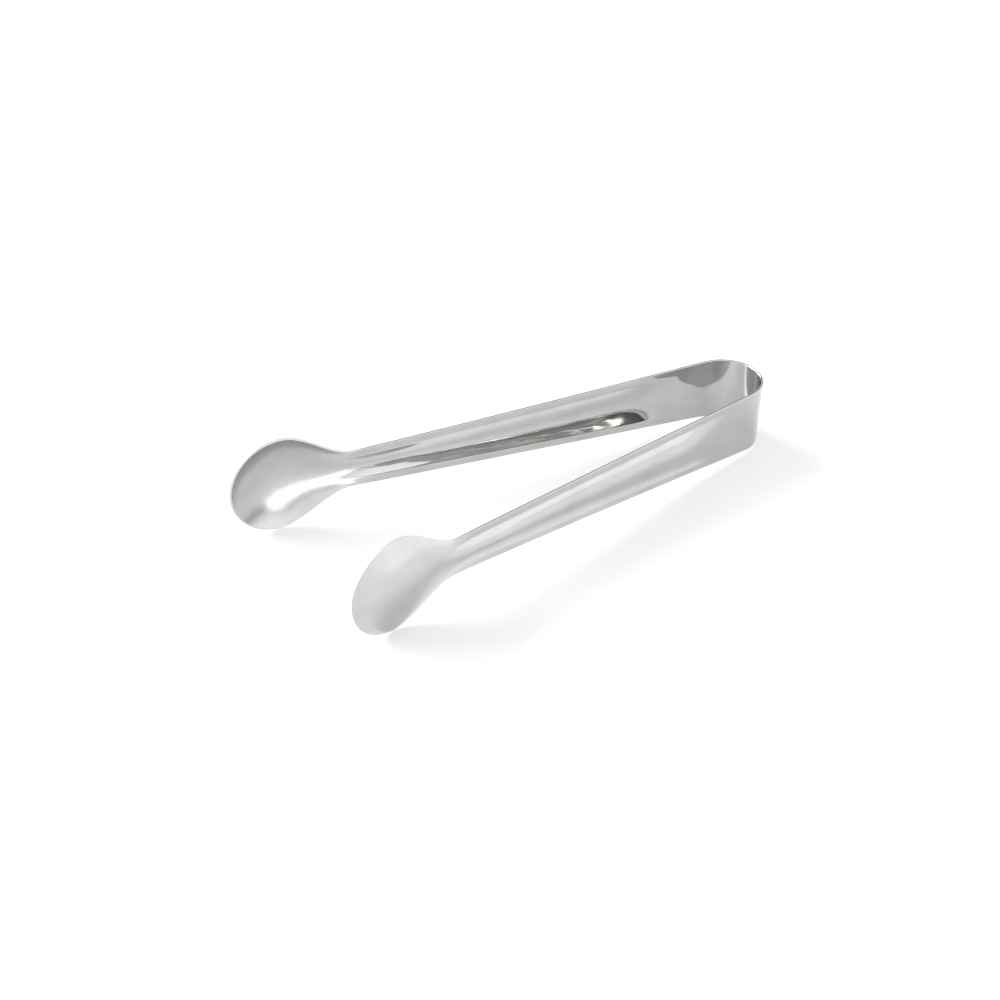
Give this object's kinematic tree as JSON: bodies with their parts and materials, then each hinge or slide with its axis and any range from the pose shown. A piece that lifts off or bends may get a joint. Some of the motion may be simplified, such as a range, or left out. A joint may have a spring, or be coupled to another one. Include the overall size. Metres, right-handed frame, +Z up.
{
  "type": "ice tongs",
  "caption": "One-piece spring ice tongs in polished stainless steel: a bent bow, two channelled arms and a spoon-shaped scoop on each, lying on their edge.",
  "frame": {"origin": "middle of the footprint, on the surface that the tongs lie on", "axes": "+X along the tongs from the scoops to the bow, +Y from the left arm to the right arm, +Z up, across the strip's width"},
  "size_m": [0.1708, 0.0722, 0.0315],
  "materials": {
    "polished_steel": "polished"
  },
  "bodies": {
    "bow": {"spring_bow": "polished_steel"},
    "left_arm": {"left_arm": "polished_steel", "left_scoop": "polished_steel"},
    "right_arm": {"right_arm": "polished_steel", "right_scoop": "polished_steel"}
  },
  "joints": [
    {"name": "right_arm_flex", "type": "hinge", "parent": "bow", "child": "right_arm", "pos_m": [0.07264, 0.01166, 0.01106], "axis": [0.0329, 0, 0.9995], "range_deg": [0, 11.35], "stiffness_Nm_per_rad": 4.5},
    {"name": "left_arm_flex", "type": "hinge", "parent": "bow", "child": "left_arm", "pos_m": [0.07264, -0.01166, 0.01106], "axis": [-0.0329, 0, -0.9995], "range_deg": [0, 11.35], "stiffness_Nm_per_rad": 4.5}
  ],
  "couplings": [
    {"joint": "left_arm_flex", "follows": "right_arm_flex", "ratio": 1}
  ]
}
